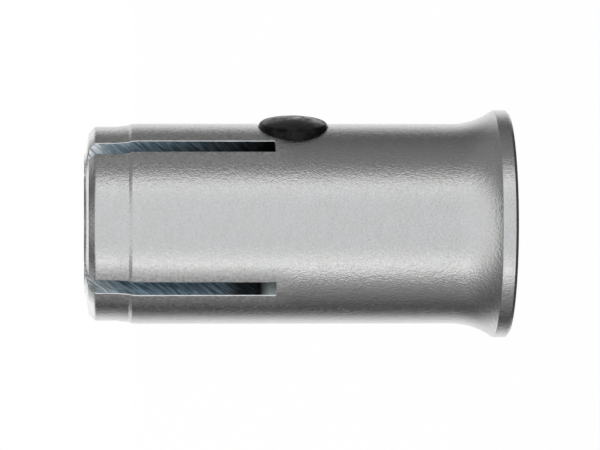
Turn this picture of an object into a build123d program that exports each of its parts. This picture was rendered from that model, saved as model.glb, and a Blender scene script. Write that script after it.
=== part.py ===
from build123d import *
import os
from math import acos, asin, cos, degrees, radians, sin, tan

# Drop-in anchor, M10 x 25, for a 12 mm drilled hole. All lengths are in millimetres.
# The origin is the centre of the mouth's face. +Z runs along the axis, from the mouth to the nose.
# Angles round the axis are counted from -Y towards +X.

# Sleeve, outside
sleeve_length = 25.0
body_radius = 5.90
rim_radius = 6.72
rim_band = 0.87  # height of the straight rim
rim_chamfer = 0.17
flare_radius = 4.25  # hollow curve between the rim and the body
nose_radius = 5.715
nose_length = 2.63
nose_step_slope = 58.0  # degrees from the axis
nose_step_round = 0.12
nose_corner_length = 0.37
nose_corner_depth = 0.43
nose_corner_round = 0.25
nose_face_slope = 6.5  # degrees by which the end face rises towards the lip
lip_radius = 4.05  # raised lip round the bore
lip_height = 0.10
lip_slope = 45.0

# Internal thread, as a plain bore at the thread's crest
thread_radius = 5.0
thread_pitch = 1.5
thread_end = 10.6  # distance from the mouth
crest_drop = 0.5413 * thread_pitch
bore_radius = thread_radius - crest_drop
mouth_radius = 5.25
mouth_slope = 45.0

# Expansion cone, as delivered
cone_start = 11.3  # distance from the mouth
cone_length = 7.0
cone_land = 2.2  # straight part that the retaining nub grips
cone_radius = 3.94
cone_tip_radius = 3.15
cone_back_chamfer = 0.30
cone_tip_chamfer = 0.30
cone_travel = 2.0  # free travel before the cone meets its seat

# Fits between the cone and the sleeve, all radial
chamber_clearance = 0.06
seated_gap = 0.02
exit_clearance = 0.05
exit_chamfer = 0.20

# Saw slots that part the nose into fingers
slot_count = 4
slot_width = 0.95
slot_root = 13.93  # distance from the mouth, at the outside of the body
slot_start_angle = 45.0
saw_radius = 31.5

# Retaining nub, pressed into a cross hole
nub_radius = 2.03
nub_height = 12.75  # distance from the mouth
nub_angle = 70.3
nub_edge_proud = 0.18
nub_proud = 0.48
nub_edge_round = 0.25
nub_tip_gap = 0.05
nub_tip_chamfer = 0.25

same = 1e-4  # two sizes closer than this are the same

# The flare ends where its arc has run from the body's radius out to the rim's.
flare_angle = acos(1 - (rim_radius - body_radius) / flare_radius)
flare_top = rim_band + flare_radius * sin(flare_angle)
step_top = sleeve_length - nose_length
step_bottom = step_top - (body_radius - nose_radius) / tan(radians(nose_step_slope))

# The seat's taper is parallel to the cone's, and the cone stops just short of touching it.
chamber_radius = cone_radius + chamber_clearance
exit_radius = cone_tip_radius + exit_clearance
taper = (cone_radius - cone_tip_radius) / (cone_length - cone_land)
seat_start = cone_start + cone_land + cone_travel - (chamber_clearance - seated_gap) / taper
seat_end = seat_start + (chamber_radius - exit_radius) / taper
thread_runout = thread_end + (bore_radius - chamber_radius)
mouth_depth = (mouth_radius - bore_radius) / tan(radians(mouth_slope))
lip_base_radius = lip_radius + lip_height / tan(radians(lip_slope))
lip_base = sleeve_length - lip_height
corner_top_radius = nose_radius - nose_corner_depth
corner_top = lip_base - (corner_top_radius - lip_base_radius) * tan(radians(nose_face_slope))
corner_bottom = corner_top - nose_corner_length

# The nub's profile has its X out along the nub and its Y parallel to the sleeve's axis.
nub_direction = Vector(sin(radians(nub_angle)), -cos(radians(nub_angle)), 0)
nub_axis = Axis((0, 0, nub_height), nub_direction)
nub_profile = Plane(
    origin=nub_axis.position,
    x_dir=nub_direction,
    z_dir=nub_direction.cross(Vector(0, 0, 1)),
)
cross_hole = Plane(origin=nub_axis.position, x_dir=(0, 0, 1), z_dir=nub_direction)

# The nub's head is a shallow dome, and its flat tip lies on the cone's land.
nub_tip = cone_radius + nub_tip_gap
nub_edge = body_radius + nub_edge_proud
nub_top = body_radius + nub_proud
dome_height = nub_top - nub_edge
dome_radius = (dome_height**2 + nub_radius**2) / (2 * dome_height)
dome_angle = degrees(asin(nub_radius / dome_radius))


def edges_at(part, radius, height, axis=Axis.Z):
    """The part's round edges with this radius, at this height along the axis."""
    return [
        edge
        for edge in part.edges().filter_by(GeomType.CIRCLE)
        if abs(edge.radius - radius) < same
        and abs((edge.arc_center - axis.position).dot(axis.direction) - height) < same
    ]


# Sleeve: one turned and sawn steel piece
with BuildPart() as sleeve:
    with BuildSketch(Plane.XZ) as section:
        with BuildLine():
            Polyline(
                (body_radius, flare_top),
                (body_radius, step_bottom),
                (nose_radius, step_top),
                (nose_radius, corner_bottom),
                (corner_top_radius, corner_top),
                (lip_base_radius, lip_base),
                (lip_radius, sleeve_length),
                (exit_radius + exit_chamfer, sleeve_length),
                (exit_radius, sleeve_length - exit_chamfer),
                (exit_radius, seat_end),
                (chamber_radius, seat_start),
                (chamber_radius, thread_runout),
                (bore_radius, thread_end),
                (bore_radius, mouth_depth),
                (mouth_radius, 0),
                (rim_radius, 0),
                (rim_radius, rim_band),
            )
            JernArc(
                start=(body_radius, flare_top),
                tangent=(0, -1),
                radius=flare_radius,
                arc_size=degrees(flare_angle),
            )
        make_face()
    revolve(axis=Axis.Z)
    fillet(edges_at(sleeve, body_radius, step_bottom), nose_step_round)
    fillet(edges_at(sleeve, nose_radius, corner_bottom), nose_corner_round)
    chamfer(edges_at(sleeve, rim_radius, 0), rim_chamfer)

    # Cross hole for the nub, through one wall
    with BuildSketch(cross_hole):
        Circle(nub_radius)
    extrude(amount=rim_radius, mode=Mode.SUBTRACT)

    # A disc saw fed in from the nose cuts two opposite slots at a time, with a root that follows its rim.
    saw_height = slot_root + (saw_radius**2 - body_radius**2) ** 0.5
    for i in range(slot_count // 2):
        slot_angle = radians(slot_start_angle + i * 360 / slot_count)
        saw_plane = Plane(
            origin=(0, 0, saw_height),
            x_dir=(sin(slot_angle), -cos(slot_angle), 0),
            z_dir=(cos(slot_angle), sin(slot_angle), 0),
        )
        with BuildSketch(saw_plane):
            Circle(saw_radius)
        extrude(amount=slot_width / 2, both=True, mode=Mode.SUBTRACT)
sleeve.part.label = "sleeve"

# Expansion cone: a turned steel plug that rides in the sleeve's chamber
with BuildPart() as expansion_cone:
    with BuildSketch(Plane.XZ):
        with BuildLine():
            Polyline(
                (0, cone_start),
                (cone_radius, cone_start),
                (cone_radius, cone_start + cone_land),
                (cone_tip_radius, cone_start + cone_length),
                (0, cone_start + cone_length),
                close=True,
            )
        make_face()
    revolve(axis=Axis.Z)
    chamfer(edges_at(expansion_cone, cone_radius, cone_start), cone_back_chamfer)
    chamfer(edges_at(expansion_cone, cone_tip_radius, cone_start + cone_length), cone_tip_chamfer)
expansion_cone.part.label = "expansion_cone"

# Retaining nub: a moulded plastic plug pressed into the cross hole
with BuildPart() as retaining_nub:
    with BuildSketch(nub_profile):
        with BuildLine():
            Polyline(
                (nub_top, 0),
                (nub_tip, 0),
                (nub_tip, nub_radius - nub_tip_chamfer),
                (nub_tip + nub_tip_chamfer, nub_radius),
                (nub_edge, nub_radius),
            )
            JernArc(start=(nub_top, 0), tangent=(0, 1), radius=dome_radius, arc_size=dome_angle)
        make_face()
    revolve(axis=nub_axis)
    fillet(edges_at(retaining_nub, nub_radius, nub_edge, nub_axis), nub_edge_round)
retaining_nub.part.label = "retaining_nub"

os.makedirs("parts", exist_ok=True)
export_step(sleeve.part, "parts/sleeve.step")
export_step(expansion_cone.part, "parts/expansion_cone.step")
export_step(retaining_nub.part, "parts/retaining_nub.step")
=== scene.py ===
from math import acos, ceil, cos, pi, radians, sin, sqrt, tan

import bmesh
import bpy
from mathutils import Matrix, Vector, noise


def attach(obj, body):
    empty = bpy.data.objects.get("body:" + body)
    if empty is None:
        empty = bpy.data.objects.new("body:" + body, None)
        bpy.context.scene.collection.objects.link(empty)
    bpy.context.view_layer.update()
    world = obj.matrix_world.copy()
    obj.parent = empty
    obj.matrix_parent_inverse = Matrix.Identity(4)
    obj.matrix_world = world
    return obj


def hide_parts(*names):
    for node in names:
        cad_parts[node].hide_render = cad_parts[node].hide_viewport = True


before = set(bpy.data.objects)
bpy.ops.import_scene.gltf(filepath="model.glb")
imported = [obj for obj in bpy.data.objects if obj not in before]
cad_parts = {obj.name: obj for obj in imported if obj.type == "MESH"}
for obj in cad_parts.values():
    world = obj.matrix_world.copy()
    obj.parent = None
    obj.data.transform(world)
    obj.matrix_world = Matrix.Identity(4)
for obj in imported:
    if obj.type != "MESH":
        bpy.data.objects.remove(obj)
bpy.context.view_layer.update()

MM = 0.001

# Sizes in millimetres, in the CAD frame: +Z runs from the mouth on the floor up to the nose.
LENGTH = 25.0
BODY_RADIUS = 5.90
RIM_RADIUS = 6.72
RIM_BAND = 0.87
RIM_CHAMFER = 0.17
RIM_UPPER_EDGE = 0.12
FLARE_RADIUS = 4.25
NOSE_RADIUS = 5.715
CORNER_LENGTH = 0.37
CORNER_DEPTH = 0.43
CORNER_ROUND = 0.25
FACE_SLOPE = radians(8.5)
FACE_EDGE_ROUND = 0.07
LIP_RADIUS = 4.05
LIP_HEIGHT = 0.10
LIP_ROUND = 0.03
LIP_ROOT_ROUND = 0.02
EXIT_CHAMFER = 0.20
EXIT_ROUND = 0.05
THREAD_END = 10.6
THREAD_RADIUS = 5.0
THREAD_RUNOUT_SLOPE = 0.45
PITCH = 1.5
CREST_DROP = 0.5413 * PITCH
BORE_RADIUS = THREAD_RADIUS - CREST_DROP
MOUTH_RADIUS = 5.25
SLOT_COUNT = 4
SLOT_START = radians(45.0)
SLOT_ANGLES = [SLOT_START + 2 * pi * k / SLOT_COUNT for k in range(SLOT_COUNT)]
SLOT_WIDTH = 0.95
SLOT_ROOT = 13.93
SAW_RADIUS = 31.5
EDGE_BREAK = 0.055
NUB_RADIUS = 2.03
NUB_HEIGHT = 12.75
NUB_ANGLE = radians(70.3)

# The cone as delivered. Its seat has the same taper, and the cone stops just short of touching it.
CONE_RADIUS = 3.94
CONE_TIP_RADIUS = 3.15
CONE_LAND_END = 13.5
CONE_TAPER_LENGTH = 4.8
CONE_TRAVEL = 2.0
CHAMBER_CLEARANCE = 0.06
EXIT_CLEARANCE = 0.05
SEATED_GAP = 0.02
CHAMBER_RADIUS = CONE_RADIUS + CHAMBER_CLEARANCE
EXIT_RADIUS = CONE_TIP_RADIUS + EXIT_CLEARANCE
TAPER = (CONE_RADIUS - CONE_TIP_RADIUS) / CONE_TAPER_LENGTH
SEAT_START = CONE_LAND_END + CONE_TRAVEL - (CHAMBER_CLEARANCE - SEATED_GAP) / TAPER
SEAT_END = SEAT_START + (CHAMBER_RADIUS - EXIT_RADIUS) / TAPER

# The step from the body to the nose: a faint shoulder, a slope and a long, gentle run-out. Lengths
# are counted from the slope's start and drops from the body's surface.
STEP_START = 22.21
STEP_SHOULDER_LENGTH = 0.45
STEP_SHOULDER_DROP = 0.02
STEP_SLOPE_LENGTH = 0.19
STEP_SLOPE_DROP = 0.105
STEP_RUNOUT_LENGTH = 0.90
STEP_EDGE_ROUND = 0.03
STEP_FOOT_ROUND = 0.05
STEP_SOFT_ROUND = 0.5

# The edges' breaks vary along their length by a coarse and a fine noise.
EDGE_NOISE_SCALE = 3.1
EDGE_NOISE_FINER = 3.7
EDGE_COARSE = 0.35
EDGE_FINE = 0.25

# Where the cutters end, past the faces that they cut. HOLE_BOTTOM is counted from the axis, and
# EDGE_DEPTH in sizes of the edge's break.
MOUTH_CLEARANCE = 0.4
COUNTERSINK_DEPTH = 1.3
SAW_CLEARANCE = 1.5
SAW_REACH = 7.5
EDGE_OVERLAP = 0.02
EDGE_CLEARANCE = 0.3
EDGE_DEPTH = 1.4
EDGE_BELOW_ROOT = 0.2
HOLE_BOTTOM = 2.0

# Meshing.
COLUMNS = 360
HOLE_COLUMNS = 96
SAW_STEPS = 40
EDGE_STEPS = 5
EDGE_STRETCH = 0.11
LONGEST_STRETCH = 1.0
SHARP = radians(30.0)
MERGE = 1e-5


# ------------------------------------------------------------------------------------------ profiles
def rounded(points, segments=6):
    """A line of (r, z, corner radius) points, with its corners replaced by arcs."""
    out = []
    for i, (r, z, radius) in enumerate(points):
        here = Vector((r, z))
        if not radius:
            out.append(here)
            continue
        back = (Vector(points[i - 1][:2]) - here).normalized()
        ahead = (Vector(points[i + 1][:2]) - here).normalized()
        half = back.angle(ahead) / 2
        centre = here + (back + ahead).normalized() * radius / sin(half)
        start = here + back * radius / tan(half) - centre
        end = here + ahead * radius / tan(half) - centre
        sweep = start.angle(end)
        for k in range(segments + 1):
            f = k / segments
            out.append(centre + (start * sin((1 - f) * sweep) + end * sin(f * sweep)) / sin(sweep))
    return out


def spaced(points, step):
    """The same line with points added, so that no stretch is longer than step."""
    out = [points[0]]
    for a, b in zip(points, points[1:]):
        n = max(1, ceil((b - a).length / step))
        out += [a.lerp(b, k / n) for k in range(1, n + 1)]
    return out


def flare_line(segments=26):
    """The hollow curve from the rim in to the body."""
    angle = acos(1 - (RIM_RADIUS - BODY_RADIUS) / FLARE_RADIUS)
    centre = Vector((BODY_RADIUS + FLARE_RADIUS, RIM_BAND + FLARE_RADIUS * sin(angle)))
    turns = [angle * (1 - k / segments) for k in range(segments + 1)]
    return [centre - Vector((cos(a), sin(a))) * FLARE_RADIUS for a in turns]


def nose_line():
    """From the body over the step, the nose's corner, the end face and the lip to the bore.

    The lip's outside and the exit's chamfer are 45 degree slopes.
    """
    face = LENGTH - LIP_HEIGHT
    corner_radius = NOSE_RADIUS - CORNER_DEPTH
    corner = face - (corner_radius - LIP_RADIUS - LIP_HEIGHT) * tan(FACE_SLOPE)
    return rounded([
        (BODY_RADIUS, flare_line()[-1].y, 0),
        (BODY_RADIUS, STEP_START - STEP_SHOULDER_LENGTH, STEP_SOFT_ROUND),
        (BODY_RADIUS - STEP_SHOULDER_DROP, STEP_START, STEP_EDGE_ROUND),
        (BODY_RADIUS - STEP_SLOPE_DROP, STEP_START + STEP_SLOPE_LENGTH, STEP_FOOT_ROUND),
        (NOSE_RADIUS, STEP_START + STEP_RUNOUT_LENGTH, STEP_SOFT_ROUND),
        (NOSE_RADIUS, corner - CORNER_LENGTH, CORNER_ROUND),
        (corner_radius, corner, FACE_EDGE_ROUND),
        (LIP_RADIUS + LIP_HEIGHT, face, LIP_ROOT_ROUND),
        (LIP_RADIUS, LENGTH, LIP_ROUND),
        (EXIT_RADIUS + EXIT_CHAMFER, LENGTH, EXIT_ROUND),
        (EXIT_RADIUS, LENGTH - EXIT_CHAMFER, EXIT_ROUND),
        (EXIT_RADIUS, SEAT_END, 0),
    ])


# -------------------------------------------------------------------------------------- mesh helpers
def new_object(name, vertices, faces, material):
    mesh = bpy.data.meshes.new(name)
    mesh.from_pydata(vertices, [], faces)
    mesh.materials.append(material)
    made = bpy.data.objects.new(name, mesh)
    bpy.context.scene.collection.objects.link(made)
    return made


def about_axis(r, angle, z):
    """A point round the sleeve's axis. Angles are counted from -Y towards +X."""
    return Vector((r * sin(angle), -r * cos(angle), z))


def outward(angle):
    """The directions away from the axis and sideways from it, at an angle round the sleeve."""
    return Vector((sin(angle), -cos(angle), 0)), Vector((cos(angle), sin(angle), 0))


def closed_tube(rings):
    """Vertices and faces of a tube of rings with its two ends capped."""
    n = len(rings[0])
    vertices = [p for ring in rings for p in ring]
    faces = [
        (i * n + j, i * n + (j + 1) % n, (i + 1) * n + (j + 1) % n, (i + 1) * n + j)
        for i in range(len(rings) - 1)
        for j in range(n)
    ]
    faces.append(tuple(reversed(range(n))))
    faces.append(tuple(range((len(rings) - 1) * n, len(rings) * n)))
    return vertices, faces


def clean(piece):
    """Merges coincident points and turns every face outwards."""
    mesh = bmesh.new()
    mesh.from_mesh(piece.data)
    bmesh.ops.remove_doubles(mesh, verts=mesh.verts, dist=MERGE)
    bmesh.ops.recalc_face_normals(mesh, faces=mesh.faces)
    mesh.to_mesh(piece.data)
    mesh.free()


def cut(piece, cutter):
    """Takes the cutter out of the piece. The cut faces get the cutter's material."""
    clean(cutter)
    boolean = piece.modifiers.new("cut", "BOOLEAN")
    boolean.operation = "DIFFERENCE"
    boolean.solver = "MANIFOLD"
    boolean.material_mode = "TRANSFER"
    boolean.object = cutter
    evaluated = piece.evaluated_get(bpy.context.evaluated_depsgraph_get())
    result = bpy.data.meshes.new_from_object(evaluated)
    piece.modifiers.clear()
    piece.data = result
    bpy.data.objects.remove(cutter)


def finish_mesh(piece):
    """Brings a piece to metres, with sharp edges by angle and normals led by the large faces."""
    piece.data.transform(Matrix.Scale(MM, 4))
    mesh = bmesh.new()
    mesh.from_mesh(piece.data)
    for face in mesh.faces:
        face.smooth = True
    for edge in mesh.edges:
        edge.smooth = edge.is_manifold and edge.calc_face_angle(0) < SHARP
    mesh.to_mesh(piece.data)
    mesh.free()
    normals = piece.modifiers.new("normals", "WEIGHTED_NORMAL")
    normals.keep_sharp = True


# -------------------------------------------------------------------------------------------- sleeve
# The metric thread's profile in parts of the pitch: root up to ROOT_END, a flank, crest from
# CREST_START to CREST_END, and the other flank. The nudge keeps a row that lies on a flank's end
# from falling to its wrong side by rounding.
NUDGE = 1e-9
FLANK = 5 / 16
ROOT_END = 1 / 8
CREST_START = ROOT_END + FLANK
CREST_END = 1 - FLANK
THREAD_STOPS = (
    1.0,
    CREST_END + FLANK / 2,
    CREST_END,
    (CREST_START + CREST_END) / 2,
    CREST_START,
    ROOT_END + FLANK / 2,
    ROOT_END,
)


def thread_radius(turn):
    """The internal thread's radius at a height counted in turns."""
    f = turn % 1.0
    if f < ROOT_END:
        return THREAD_RADIUS
    if f < CREST_START:
        return THREAD_RADIUS - CREST_DROP * (f - ROOT_END) / FLANK
    if f < CREST_END:
        return BORE_RADIUS
    return BORE_RADIUS + CREST_DROP * (f - CREST_END) / FLANK


def thread_row(k):
    """Row k of the thread, from the chamber down. It climbs one pitch in a turn."""
    pitches, stop = divmod(k, len(THREAD_STOPS))
    top = ceil(THREAD_END / PITCH) - 1 + THREAD_STOPS[stop]

    def row(fraction):
        z = min(max((top - pitches + fraction) * PITCH, 0.0), THREAD_END)
        runout = BORE_RADIUS + (THREAD_END - z) * THREAD_RUNOUT_SLOPE
        return min(thread_radius(z / PITCH - fraction + NUDGE), runout), z

    return row


def sleeve_blank(material):
    """The turned sleeve with its thread, before it is drilled, countersunk and sawn."""
    flare = flare_line()
    outside = rounded([
        (RIM_RADIUS - RIM_CHAMFER, 0, 0),
        (RIM_RADIUS, RIM_CHAMFER, 0),
        (RIM_RADIUS, RIM_BAND, RIM_UPPER_EDGE),
        (*flare[1], 0),
    ]) + flare[2:] + nose_line()[1:]
    inside = [
        Vector((CHAMBER_RADIUS, SEAT_START)),
        Vector((CHAMBER_RADIUS, THREAD_END + BORE_RADIUS - CHAMBER_RADIUS)),
    ]
    per_pitch = len(THREAD_STOPS)
    thread_rows = per_pitch * (ceil(THREAD_END / PITCH) + 1) + 1
    plain = spaced(outside, LONGEST_STRETCH) + inside
    rings = [[(p.x, p.y)] * COLUMNS for p in plain]
    for k in range(thread_rows):
        row = thread_row(k)
        rings.append([row(j / COLUMNS) for j in range(COLUMNS)])

    def across_seam(i):
        """The row that row i meets where the turn closes, one pitch further down in the thread."""
        k = i - len(plain)
        return i if k < 0 else len(plain) + max(0, k - per_pitch)

    vertices = [about_axis(r, 2 * pi * j / COLUMNS, z) for ring in rings for j, (r, z) in enumerate(ring)]
    faces = []
    for i in range(len(rings)):
        ahead = (i + 1) % len(rings)
        for j in range(COLUMNS - 1):
            a = i * COLUMNS + j
            b = ahead * COLUMNS + j
            faces.append((a, a + 1, b + 1, b))
        a = i * COLUMNS + COLUMNS - 1
        b = ahead * COLUMNS + COLUMNS - 1
        faces.append((a, across_seam(i) * COLUMNS, across_seam(ahead) * COLUMNS, b))
    return new_object("anchor_sleeve", vertices, faces, material)


def countersink(material):
    """The mouth's 45 degree cone."""
    rings = [
        [about_axis(MOUTH_RADIUS - z, 2 * pi * j / COLUMNS, z) for j in range(COLUMNS)]
        for z in (-MOUTH_CLEARANCE, COUNTERSINK_DEPTH)
    ]
    return new_object("countersink", *closed_tube(rings), material)


def saw_cutter(angle, material):
    """The disc saw's path: a slab whose lower end follows the disc's rim."""
    height = SLOT_ROOT + sqrt(SAW_RADIUS**2 - BODY_RADIUS**2)
    across = [-SAW_REACH + 2 * SAW_REACH * k / SAW_STEPS for k in range(SAW_STEPS + 1)]
    along, side = outward(angle)
    rings = []
    for u in (-SLOT_WIDTH / 2, SLOT_WIDTH / 2):
        root = [along * v + side * u + Vector((0, 0, height - sqrt(SAW_RADIUS**2 - v**2))) for v in across]
        top = [along * v + side * u + Vector((0, 0, LENGTH + SAW_CLEARANCE)) for v in (SAW_REACH, -SAW_REACH)]
        rings.append(root + top)
    return new_object("saw", *closed_tube(rings), material)


def edge_cutter(angle, material):
    """A rounded edge break along both sides of a slot, from its root over the nose to the bore.

    The first point of its path is moved to the root.
    """
    path = [p for p in spaced(nose_line(), EDGE_STRETCH)[:-1] if p.y > SLOT_ROOT - EDGE_BELOW_ROOT]
    path[0] = Vector((BODY_RADIUS, SLOT_ROOT))
    along, side = outward(angle)
    rings = []
    for i, p in enumerate(path):
        before, after = path[max(i - 1, 0)], path[min(i + 1, len(path) - 1)]
        tangent = (after - before).normalized()
        normal = Vector((tangent.y, -tangent.x))
        halves = []
        for sign in (-1, 1):
            spot = Vector((p.x, p.y, angle + sign)) * EDGE_NOISE_SCALE
            coarse, fine = noise.noise(spot), noise.noise(spot * EDGE_NOISE_FINER)
            size = EDGE_BREAK * (1 + EDGE_COARSE * coarse + EDGE_FINE * fine)
            half = [(SLOT_WIDTH / 2 - EDGE_OVERLAP, -size * EDGE_DEPTH, 0)]
            for k in range(EDGE_STEPS + 1):
                turn = pi / 2 * k / EDGE_STEPS
                out, down = size * (1 - cos(turn)), size * (1 - sin(turn))
                half.append((SLOT_WIDTH / 2 + out, -down, out))
            half.append((SLOT_WIDTH / 2 + size + EDGE_OVERLAP, EDGE_CLEARANCE, size + EDGE_OVERLAP))
            halves.append([(sign * u, d, f) for u, d, f in half])
        ring = []
        for u, d, f in halves[0] + halves[1][::-1]:
            spot = p + normal * d - tangent * (f if i == 0 else 0)
            curve = BODY_RADIUS - sqrt(BODY_RADIUS**2 - u**2)
            ring.append(along * (spot.x - curve) + side * u + Vector((0, 0, spot.y)))
        rings.append(ring)
    return new_object("edge_break", *closed_tube(rings), material)


# The cross hole's rings from its bottom out: how much wider each is than the nub, and its height
# above the body's surface, with none for the bottom.
HOLE_EDGE = ((0.0, None), (0.0, -0.05), (0.012, -0.02), (0.04, 0.0), (0.09, 0.03), (0.09, 1.0))


def hole_cutter(material):
    """The nub's cross hole with its edge broken, which follows the round body."""
    along, side = outward(NUB_ANGLE)
    rings = []
    for grow, above in HOLE_EDGE:
        ring = []
        for j in range(HOLE_COLUMNS):
            turn = 2 * pi * j / HOLE_COLUMNS
            radius = NUB_RADIUS + grow
            u, z = radius * cos(turn), radius * sin(turn)
            depth = HOLE_BOTTOM if above is None else sqrt(BODY_RADIUS**2 - u**2) + above
            ring.append(along * depth + side * u + Vector((0, 0, NUB_HEIGHT + z)))
        rings.append(ring)
    return new_object("cross_hole", *closed_tube(rings), material)


def make_sleeve(zinc, sawn, edge):
    """The sleeve, turned, countersunk, drilled and sawn, with its edges broken."""
    sleeve = sleeve_blank(zinc)
    clean(sleeve)
    cut(sleeve, countersink(zinc))
    cut(sleeve, hole_cutter(edge))
    for angle in SLOT_ANGLES[:SLOT_COUNT // 2]:  # one pass of the saw cuts two opposite slots
        cut(sleeve, saw_cutter(angle, sawn))
    for angle in SLOT_ANGLES:
        cut(sleeve, edge_cutter(angle, edge))
    finish_mesh(sleeve)
    return sleeve


# ----------------------------------------------------------------------------------------- materials
def new_material(name):
    """A new material, its node tree and its shader."""
    made = bpy.data.materials.new(name)
    made.use_nodes = True
    return made, made.node_tree, made.node_tree.nodes["Principled BSDF"]


def node(tree, kind, inputs=(), **settings):
    """A new node, with a link from each input that is a socket and a value from each other one."""
    made = tree.nodes.new(kind)
    for name, value in settings.items():
        setattr(made, name, value)
    for name, value in dict(inputs).items():
        if isinstance(value, bpy.types.NodeSocket):
            tree.links.new(value, made.inputs[name])
        else:
            made.inputs[name].default_value = value
    return made


def place(tree, stretch=(1, 1, 1), turn=(0, 0, 0)):
    """Object coordinates in millimetres, turned and then stretched."""
    coordinates = node(tree, "ShaderNodeTexCoord")
    turned = node(tree, "ShaderNodeMapping", {"Vector": coordinates.outputs["Object"], "Rotation": turn})
    turned.inputs["Scale"].default_value = (1 / MM, 1 / MM, 1 / MM)
    mapping = node(tree, "ShaderNodeMapping", {"Vector": turned.outputs["Vector"], "Scale": stretch})
    return mapping.outputs["Vector"]


def grain(tree, vector, scale, detail=2.0, roughness=0.5):
    """Seedless noise, the same in every run."""
    settings = {"Vector": vector, "Scale": scale, "Detail": detail, "Roughness": roughness}
    return node(tree, "ShaderNodeTexNoise", settings).outputs["Fac"]


def between(tree, value, low, high, out_low=0, out_high=1):
    """The value's place between low and high, held at the ends and spread from out_low to out_high."""
    settings = {"Value": value, "From Min": low, "From Max": high, "To Min": out_low, "To Max": out_high}
    return node(tree, "ShaderNodeMapRange", settings).outputs["Result"]


def calculated(tree, operation, *values):
    return node(tree, "ShaderNodeMath", dict(enumerate(values)), operation=operation).outputs["Value"]


def ramp(tree, value, *stops):
    made = node(tree, "ShaderNodeValToRGB", {"Fac": value})
    elements = made.color_ramp.elements
    for position, colour in stops[2:]:
        elements.new(position)
    for element, (position, colour) in zip(elements, stops):
        element.position = position
        element.color = (*colour, 1) if isinstance(colour, tuple) else (colour, colour, colour, 1)
    return made.outputs["Color"]


def bump(tree, height, depth, normal=None):
    """Relief with its depth in millimetres, on top of what another bump gave."""
    made = node(tree, "ShaderNodeBump", {"Height": height, "Distance": depth * MM})
    if normal:
        tree.links.new(normal, made.inputs["Normal"])
    return made.outputs["Normal"]


def mixed(tree, factor, a, b, blend="MIX"):
    """Two colours mixed. A mix node's sockets 6 and 7 are its colours and output 2 its colour."""
    made = node(tree, "ShaderNodeMix", {"Factor": factor}, data_type="RGBA", blend_type=blend)
    for socket, value in ((made.inputs[6], a), (made.inputs[7], b)):
        if isinstance(value, tuple):
            socket.default_value = value
        else:
            tree.links.new(value, socket)
    return made.outputs[2]


def multiplied(tree, a, b, factor=1.0):
    return mixed(tree, factor, a, b, "MULTIPLY")


# The plating's roughness, and the duller strip beside each slot, as distances from the slot's wall
# and heights from its root.
PLATING_ROUGHNESS = (0.15, 0.25)
DULL_WHOLE = 0.2
DULL_END = 1.2
DULL_BELOW_ROOT = -1.3
DULL_ABOVE_ROOT = 0.1
DULL_ROUGHNESS = 0.28


def beside_slots(tree):
    """One along the slots' edges, falling to none over a narrow strip of the surface beside them."""
    turned = node(tree, "ShaderNodeSeparateXYZ", {"Vector": place(tree, turn=(0, 0, SLOT_START))})
    offsets = [calculated(tree, "ABSOLUTE", turned.outputs[axis]) for axis in "XY"]
    nearest = calculated(tree, "MINIMUM", *offsets)
    strip = between(tree, nearest, SLOT_WIDTH / 2 + DULL_END, SLOT_WIDTH / 2 + DULL_WHOLE)
    above_root = between(tree, turned.outputs["Z"], SLOT_ROOT + DULL_BELOW_ROOT, SLOT_ROOT + DULL_ABOVE_ROOT)
    return calculated(tree, "MULTIPLY", strip, above_root)


def zinc_material():
    """Bright zinc plating: fine speckle over a faint, broad mottling, duller beside the slots."""
    made, tree, shader = new_material("zinc_plated_steel")
    shader.inputs["Metallic"].default_value = 1.0
    speckle = grain(tree, place(tree), scale=11.0, roughness=0.55)
    fine = grain(tree, place(tree), scale=5.5, detail=3.0, roughness=0.6)
    broad = grain(tree, place(tree, stretch=(1, 1, 2.2)), scale=1.1)
    tone = ramp(tree, broad, (0.3, (0.603, 0.60, 0.592)), (0.7, (0.612, 0.62, 0.622)))
    colour = multiplied(tree, tone, ramp(tree, speckle, (0.35, 0.95), (0.65, 1.05)))
    strip = beside_slots(tree)
    colour = multiplied(tree, colour, ramp(tree, fine, (0.36, 0.80), (0.64, 1.16)), strip)
    tree.links.new(colour, shader.inputs["Base Color"])
    smooth = between(tree, fine, 0.3, 0.7, *PLATING_ROUGHNESS)
    roughness = calculated(tree, "MULTIPLY_ADD", strip, DULL_ROUGHNESS, smooth)
    tree.links.new(roughness, shader.inputs["Roughness"])
    rough = bump(tree, speckle, 0.008)
    rough = bump(tree, fine, 0.017, rough)
    tree.links.new(bump(tree, broad, 0.006, rough), shader.inputs["Normal"])
    return made


# The slots' walls: half the width over which the sleeve's two sides of painted light blend, the saw
# marks' slant, how far the painted shade's tones wander up and down as a share of the slot, and the
# painted highlight over the root.
SIDE_BLEND = 1.0
SAW_SLANT = radians(-37)
TONE_WANDER = 0.07
PAINTED_HIGHLIGHT_FROM = 0.3
PAINTED_HIGHLIGHT_TO = 0.85
PAINTED_HIGHLIGHT_STRENGTH = 0.9
PAINTED_HIGHLIGHT_COLOUR = (0.78, 0.86, 0.86, 1)


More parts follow.
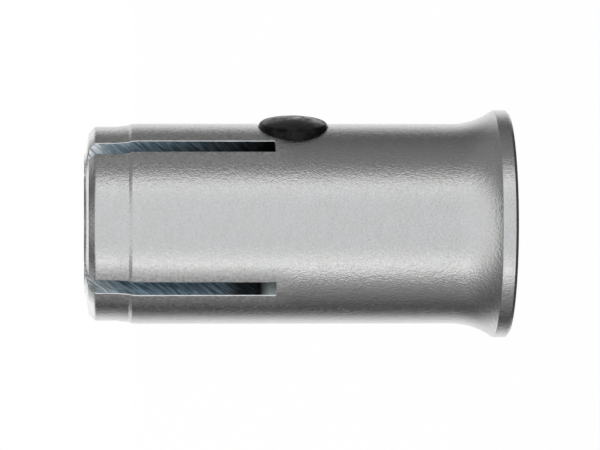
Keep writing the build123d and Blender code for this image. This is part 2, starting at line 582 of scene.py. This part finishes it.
def sawn_material():
    """Bare, slightly blue steel with the saw's slanting marks, with painted shade darkening it towards the
    slot's root, painted light that differs between the sleeve's two halves and a painted highlight just above
    the root.
    """
    made, tree, shader = new_material("saw_cut_steel")
    shader.inputs["Metallic"].default_value = 0.15
    shader.inputs["Specular IOR Level"].default_value = 0.1
    shader.inputs["Roughness"].default_value = 0.5
    coordinates = node(tree, "ShaderNodeTexCoord")
    split = node(tree, "ShaderNodeSeparateXYZ", {"Vector": coordinates.outputs["Object"]})
    height = between(tree, split.outputs["Z"], SLOT_ROOT * MM, LENGTH * MM)
    patches = grain(tree, place(tree, stretch=(1, 0, 1)), scale=0.9)
    wander = calculated(tree, "ADD", between(tree, patches, 0.3, 0.7, -TONE_WANDER, TONE_WANDER), height)
    # Painted shade: the walls' colour falls from pale blue-grey at the nose to near black at the root, for
    # the slot's shaded inside.
    colour = ramp(
        tree, wander,
        (0.0, (0.012, 0.012, 0.013)), (0.10, (0.03, 0.033, 0.038)),
        (0.22, (0.10, 0.125, 0.145)), (0.4, (0.15, 0.205, 0.25)),
        (0.6, (0.26, 0.355, 0.42)), (0.72, (0.33, 0.44, 0.52)),
        (0.84, (0.52, 0.64, 0.71)), (0.93, (0.90, 0.96, 1.0)),
    )
    slant = (0, SAW_SLANT, 0)
    scratches = grain(tree, place(tree, (1, 0, 0.12), slant), scale=7.0, detail=3.0, roughness=0.6)
    marks = grain(tree, place(tree, (1, 0, 0.3), slant), scale=2.6)
    colour = multiplied(tree, colour, ramp(tree, scratches, (0.36, 0.5), (0.5, 0.95), (0.64, 1.7)))
    colour = multiplied(tree, colour, ramp(tree, marks, (0.35, 0.88), (0.65, 1.12)))
    # Painted light: the walls on the sleeve's +X half are painted darker along the slot and those on the -X
    # half lighter, for the different light reaching the two slots.
    lit_half_mask = between(tree, split.outputs["X"], SIDE_BLEND * MM, -SIDE_BLEND * MM)
    painted_dim_half = ramp(tree, height, (0.0, 0.6), (0.15, 0.6), (0.40, 0.72), (0.6, 0.88), (0.75, 1.0))
    painted_bright_half = ramp(
        tree, height,
        (0.0, 0.6), (0.19, 0.65), (0.27, 2.1), (0.40, 1.9), (0.5, 1.3), (0.7, 1.1), (0.8, 0.85),
    )
    colour = multiplied(tree, colour, mixed(tree, lit_half_mask, painted_dim_half, painted_bright_half))
    # Painted highlight: a pale patch just above the root on the lighter -X half, for the slot's lit end.
    highlight_from, highlight_to = (SLOT_ROOT + PAINTED_HIGHLIGHT_FROM) * MM, (SLOT_ROOT + PAINTED_HIGHLIGHT_TO) * MM
    highlight_at_root = between(tree, split.outputs["Z"], highlight_to, highlight_from, 0, PAINTED_HIGHLIGHT_STRENGTH)
    painted_highlight = calculated(tree, "MULTIPLY", highlight_at_root, lit_half_mask)
    colour = mixed(tree, painted_highlight, colour, PAINTED_HIGHLIGHT_COLOUR)
    tree.links.new(colour, shader.inputs["Base Color"])
    tree.links.new(bump(tree, scratches, 0.03), shader.inputs["Normal"])
    return made


def edge_material():
    """Steel burnished bright, for the broken edges along the slots and the cross hole."""
    made, tree, shader = new_material("burnished_edge")
    shader.inputs["Metallic"].default_value = 1.0
    shader.inputs["Roughness"].default_value = 0.25
    shader.inputs["Base Color"].default_value = (0.74, 0.75, 0.76, 1)
    return made


def cone_material():
    """Turned steel with fine marks round its axis."""
    made, tree, shader = new_material("turned_cone_steel")
    shader.inputs["Metallic"].default_value = 1.0
    rings = grain(tree, place(tree, stretch=(0.2, 0.2, 9.0)), scale=3.0, detail=3.0)
    tree.links.new(ramp(tree, rings, (0.3, 0.42), (0.7, 0.5)), shader.inputs["Base Color"])
    shader.inputs["Roughness"].default_value = 0.33
    tree.links.new(bump(tree, rings, 0.004), shader.inputs["Normal"])
    return made


def plastic_material():
    """Black plastic, matt and slightly mottled, with a painted grey sheen where it turns away from the eye.
    """
    made, tree, shader = new_material("black_moulded_plastic")
    mottle = grain(tree, place(tree), scale=1.7, detail=4.0, roughness=0.6)
    facing = node(tree, "ShaderNodeLayerWeight", {"Blend": 0.5}).outputs["Facing"]
    # Painted sheen: the colour goes from near black facing the eye to grey at grazing angles.
    rim = ramp(
        tree, facing,
        (0.0, 0.010), (0.45, 0.007), (0.63, 0.008), (0.70, 0.04), (0.76, 0.19), (0.92, 0.40),
    )
    colour = multiplied(tree, rim, ramp(tree, mottle, (0.38, 0.35), (0.5, 0.9), (0.62, 2.2)))
    tree.links.new(colour, shader.inputs["Base Color"])
    shader.inputs["Roughness"].default_value = 0.5
    shader.inputs["Specular IOR Level"].default_value = 0.12
    tree.links.new(bump(tree, mottle, 0.04), shader.inputs["Normal"])
    return made


# ------------------------------------------------------------------------------------ camera and light
AZIMUTH = radians(-4.95)
ELEVATION = radians(3.15)
DISTANCE = 226.0
SENSOR = 36.0
LENS = 229.6
AIM = Vector((-0.077, 0, 12.26))
TO_CAMERA = Vector((sin(AZIMUTH) * cos(ELEVATION), -cos(AZIMUTH) * cos(ELEVATION), sin(ELEVATION)))


def add_camera():
    """The camera lies on its side: the picture's right is the object's -Z."""
    right = Vector((0, 0, -1))
    right = (right - right.dot(TO_CAMERA) * TO_CAMERA).normalized()
    up = TO_CAMERA.cross(right)
    data = bpy.data.cameras.new("camera")
    data.sensor_width = SENSOR
    data.lens = LENS
    data.clip_start = 0.01
    camera = bpy.data.objects.new("camera", data)
    stance = Matrix((right, up, TO_CAMERA)).transposed().to_4x4()
    stance.translation = (AIM + TO_CAMERA * DISTANCE) * MM
    camera.matrix_world = stance
    bpy.context.scene.collection.objects.link(camera)
    bpy.context.scene.camera = camera


# Light by the angle round the sleeve from the camera's direction, towards +X: the softbox with its
# brighter edges, the dark sides and the white behind. The second row is for directions off the level.
STUDIO = (
    (-180, 1.1), (-155, 1.0), (-146, 0.92), (-138, 0.62), (-130, 0.23), (-122, 0.07), (-112, 0.07),
    (-95, 0.21), (-80, 0.33), (-70, 0.38), (-63, 0.60), (-57, 1.10), (-51, 1.85), (-44, 1.02), (-30, 0.89),
    (0, 0.93), (30, 0.92), (39, 0.93), (46, 1.45), (50, 1.20), (55, 0.62), (62, 0.30), (72, 0.26), (85, 0.25),
    (100, 0.19), (115, 0.15), (128, 0.13), (134, 0.30), (140, 0.65), (148, 0.97), (180, 1.1),
)
STUDIO_HIGH = (
    (-180, 1.3), (-150, 1.4), (-138, 1.25), (-130, 0.9), (-122, 0.34), (-112, 0.08), (-95, 0.12),
    (-80, 0.20), (-70, 0.28), (-62, 0.55), (-54, 0.88), (-40, 0.92), (0, 0.92), (40, 0.92), (53, 0.85),
    (59, 0.45), (66, 0.27), (80, 0.29), (100, 0.27), (118, 0.17), (126, 0.20), (134, 0.60), (142, 1.0),
    (155, 1.2), (180, 1.3),
)
STUDIO_OFF_LEVEL = (radians(8.0), radians(24.0))

# Above, the studio fades to a dark top, sooner behind the sleeve, with a lamp overhead. Below it is
# dark too.
STUDIO_TOP = 0.17
STUDIO_FADE = (radians(56.0), radians(70.0))
STUDIO_BEHIND = (0.1, -0.15)
STUDIO_BEHIND_TILT = radians(15.0)
STUDIO_LAMP = 0.8
STUDIO_OVER = (radians(77.0), radians(86.0))
STUDIO_BOTTOM = 0.08
STUDIO_UNDER = (radians(-17.0), radians(-28.0))

# In front of the sleeve the angle is counted from the camera's line, and behind it round the axis.
STUDIO_LINE_FROM = (-0.2, 0.1)

# The floor lies just below the mouth. For the camera, nearly all of its light is its own even glow.
WHITE = (1, 1, 1, 1)
FLOOR_SIZE = 2000.0
FLOOR_BELOW = 0.005
FLOOR_GLOW = 1.01
FLOOR_GLOW_SHARE = 0.97


def tint(angle, level):
    """The front light is slightly blue and its edges are slightly warm."""
    turn = abs(angle)
    warm = 0.003 if 40 <= turn <= 60 else -0.016 if turn < 40 else 0
    return level * (1 + warm), level, level * (1 - warm)


def grey(level):
    return level, level, level, 1


def add_world():
    world = bpy.data.worlds.new("studio")
    world.use_nodes = True
    bpy.context.scene.world = world
    tree = world.node_tree
    shader = tree.nodes["Background"]
    direction = node(tree, "ShaderNodeTexCoord").outputs["Generated"]

    def along(axis):
        made = node(tree, "ShaderNodeVectorMath", {0: direction, 1: axis}, operation="DOT_PRODUCT")
        return made.outputs["Value"]

    side = Vector((0, 0, 1)).cross(TO_CAMERA).normalized()
    front = along(TO_CAMERA)
    round_axis = calculated(tree, "ARCTAN2", along(side), front)
    off_line = calculated(tree, "ARCCOSINE", front)
    signed = calculated(tree, "MULTIPLY", off_line, calculated(tree, "SIGN", along(side)))
    in_front = between(tree, front, *STUDIO_LINE_FROM)
    turn = node(tree, "ShaderNodeMix", {"Factor": in_front, 2: round_axis, 3: signed})
    place_on = between(tree, turn.outputs[0], -pi, pi)
    level, high = (
        ramp(tree, place_on, *[(a / 360 + 0.5, tint(a, v)) for a, v in row])
        for row in (STUDIO, STUDIO_HIGH)
    )
    rise = calculated(tree, "ARCSINE", along((0, 0, 1)))
    steep = calculated(tree, "ABSOLUTE", rise)
    light = mixed(tree, between(tree, steep, *STUDIO_OFF_LEVEL), level, high)
    behind = between(tree, front, *STUDIO_BEHIND, 0, STUDIO_BEHIND_TILT)
    climb = calculated(tree, "ADD", rise, behind)
    room = mixed(tree, between(tree, climb, *STUDIO_FADE), light, grey(STUDIO_TOP))
    room = mixed(tree, between(tree, rise, *STUDIO_OVER), room, grey(STUDIO_LAMP))
    room = mixed(tree, between(tree, rise, *STUDIO_UNDER), room, grey(STUDIO_BOTTOM))
    seen = node(tree, "ShaderNodeLightPath").outputs["Is Camera Ray"]
    tree.links.new(mixed(tree, seen, room, WHITE), shader.inputs["Color"])


def add_floor():
    """A white floor that glows evenly for the camera and is clear from below."""
    corners = [
        (x * FLOOR_SIZE, y * FLOOR_SIZE, -FLOOR_BELOW) for x, y in ((-1, -1), (1, -1), (1, 1), (-1, 1))
    ]
    made, tree, shader = new_material("white_floor")
    shader.inputs["Base Color"].default_value = (0.9, 0.9, 0.9, 1)
    shader.inputs["Roughness"].default_value = 1.0
    seen = node(tree, "ShaderNodeLightPath").outputs["Is Camera Ray"]
    output = tree.nodes["Material Output"]
    white = node(tree, "ShaderNodeEmission", {"Color": WHITE, "Strength": FLOOR_GLOW})
    share = calculated(tree, "MULTIPLY", seen, FLOOR_GLOW_SHARE)
    top = node(tree, "ShaderNodeMixShader", {0: share, 1: shader.outputs[0], 2: white.outputs[0]})
    underside = node(tree, "ShaderNodeNewGeometry").outputs["Backfacing"]
    clear = node(tree, "ShaderNodeBsdfTransparent")
    one_sided = node(tree, "ShaderNodeMixShader", {0: underside, 1: top.outputs[0], 2: clear.outputs[0]})
    tree.links.new(one_sided.outputs[0], output.inputs["Surface"])
    floor = new_object("floor", [Vector(c) * MM for c in corners], [(0, 1, 2, 3)], made)
    floor.visible_glossy = False
    floor.visible_shadow = False


# ------------------------------------------------------------------------------------------- the scene
zinc = zinc_material()
sleeve = make_sleeve(zinc, sawn_material(), edge_material())
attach(sleeve, "anchor")
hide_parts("sleeve")

for name, finish in (("expansion_cone", cone_material()), ("retaining_nub", plastic_material())):
    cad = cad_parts[name]
    cad.data.materials.clear()
    cad.data.materials.append(finish)

add_camera()
add_world()
add_floor()
bpy.context.scene.view_settings.view_transform = "Standard"
